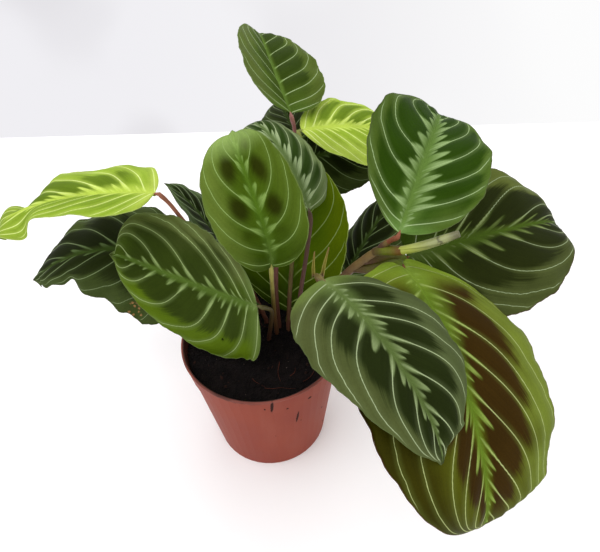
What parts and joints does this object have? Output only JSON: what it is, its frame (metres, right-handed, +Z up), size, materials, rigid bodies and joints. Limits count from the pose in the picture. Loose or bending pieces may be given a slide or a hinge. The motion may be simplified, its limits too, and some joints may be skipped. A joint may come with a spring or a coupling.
{
  "type": "potted plant",
  "caption": "Bushy potted calathea with broad, arched, feather-patterned leaves on thin stalks, growing from soil in a round tapered plastic nursery pot.",
  "frame": {"origin": "centre of the pot's flat base, on the surface that it stands on", "axes": "+Z up along the pot's axis; +X to the right and -Y to the front, the side that the picture looks at"},
  "size_m": [0.4155, 0.3505, 0.28],
  "materials": {
    "pot": "smooth matt terracotta-coloured plastic",
    "soil": "moist, nearly black peat potting mix",
    "blade": "satin dark green leaf with pale veins and a silver-green feather along the midrib",
    "lime_blade": "satin lime green young leaf with pale veins",
    "stalk": "thin round stalk, yellow-green turning brown",
    "stem": "purple-brown stem",
    "rolled_leaf": "cream-green rolled leaf",
    "sheath": "dry papery yellow-brown sheath"
  },
  "bodies": {
    "root": {"pot": "pot", "soil": "soil", "right_stem": "stem", "rolled_leaf": "rolled_leaf", "sheath_tall": "sheath", "sheath_short": "sheath", "blade_top": "blade", "blade_lime_right": "lime_blade", "blade_upright_right": "blade", "blade_far_right": "blade", "blade_large_front_right": "blade", "blade_front": "blade", "blade_front_left": "blade", "blade_wavy_left": "blade", "blade_lime_left": "lime_blade", "blade_centre": "blade", "blade_behind_centre": "blade", "blade_small_left": "blade", "blade_low_back": "blade", "blade_shaded_back": "blade", "blade_low_right": "blade", "blade_small_back": "blade", "stalk_top": "stalk", "stalk_lime_right": "stalk", "stalk_front_left": "stalk", "stalk_wavy_left": "stalk", "stalk_lime_left": "stalk", "stalk_centre": "stalk", "stalk_behind_centre": "stalk", "stalk_small_left": "stalk", "stalk_low_back": "stalk", "stalk_shaded_back": "stalk", "stalk_low_right": "stalk", "stalk_small_back": "stalk"}
  },
  "joints": []
}
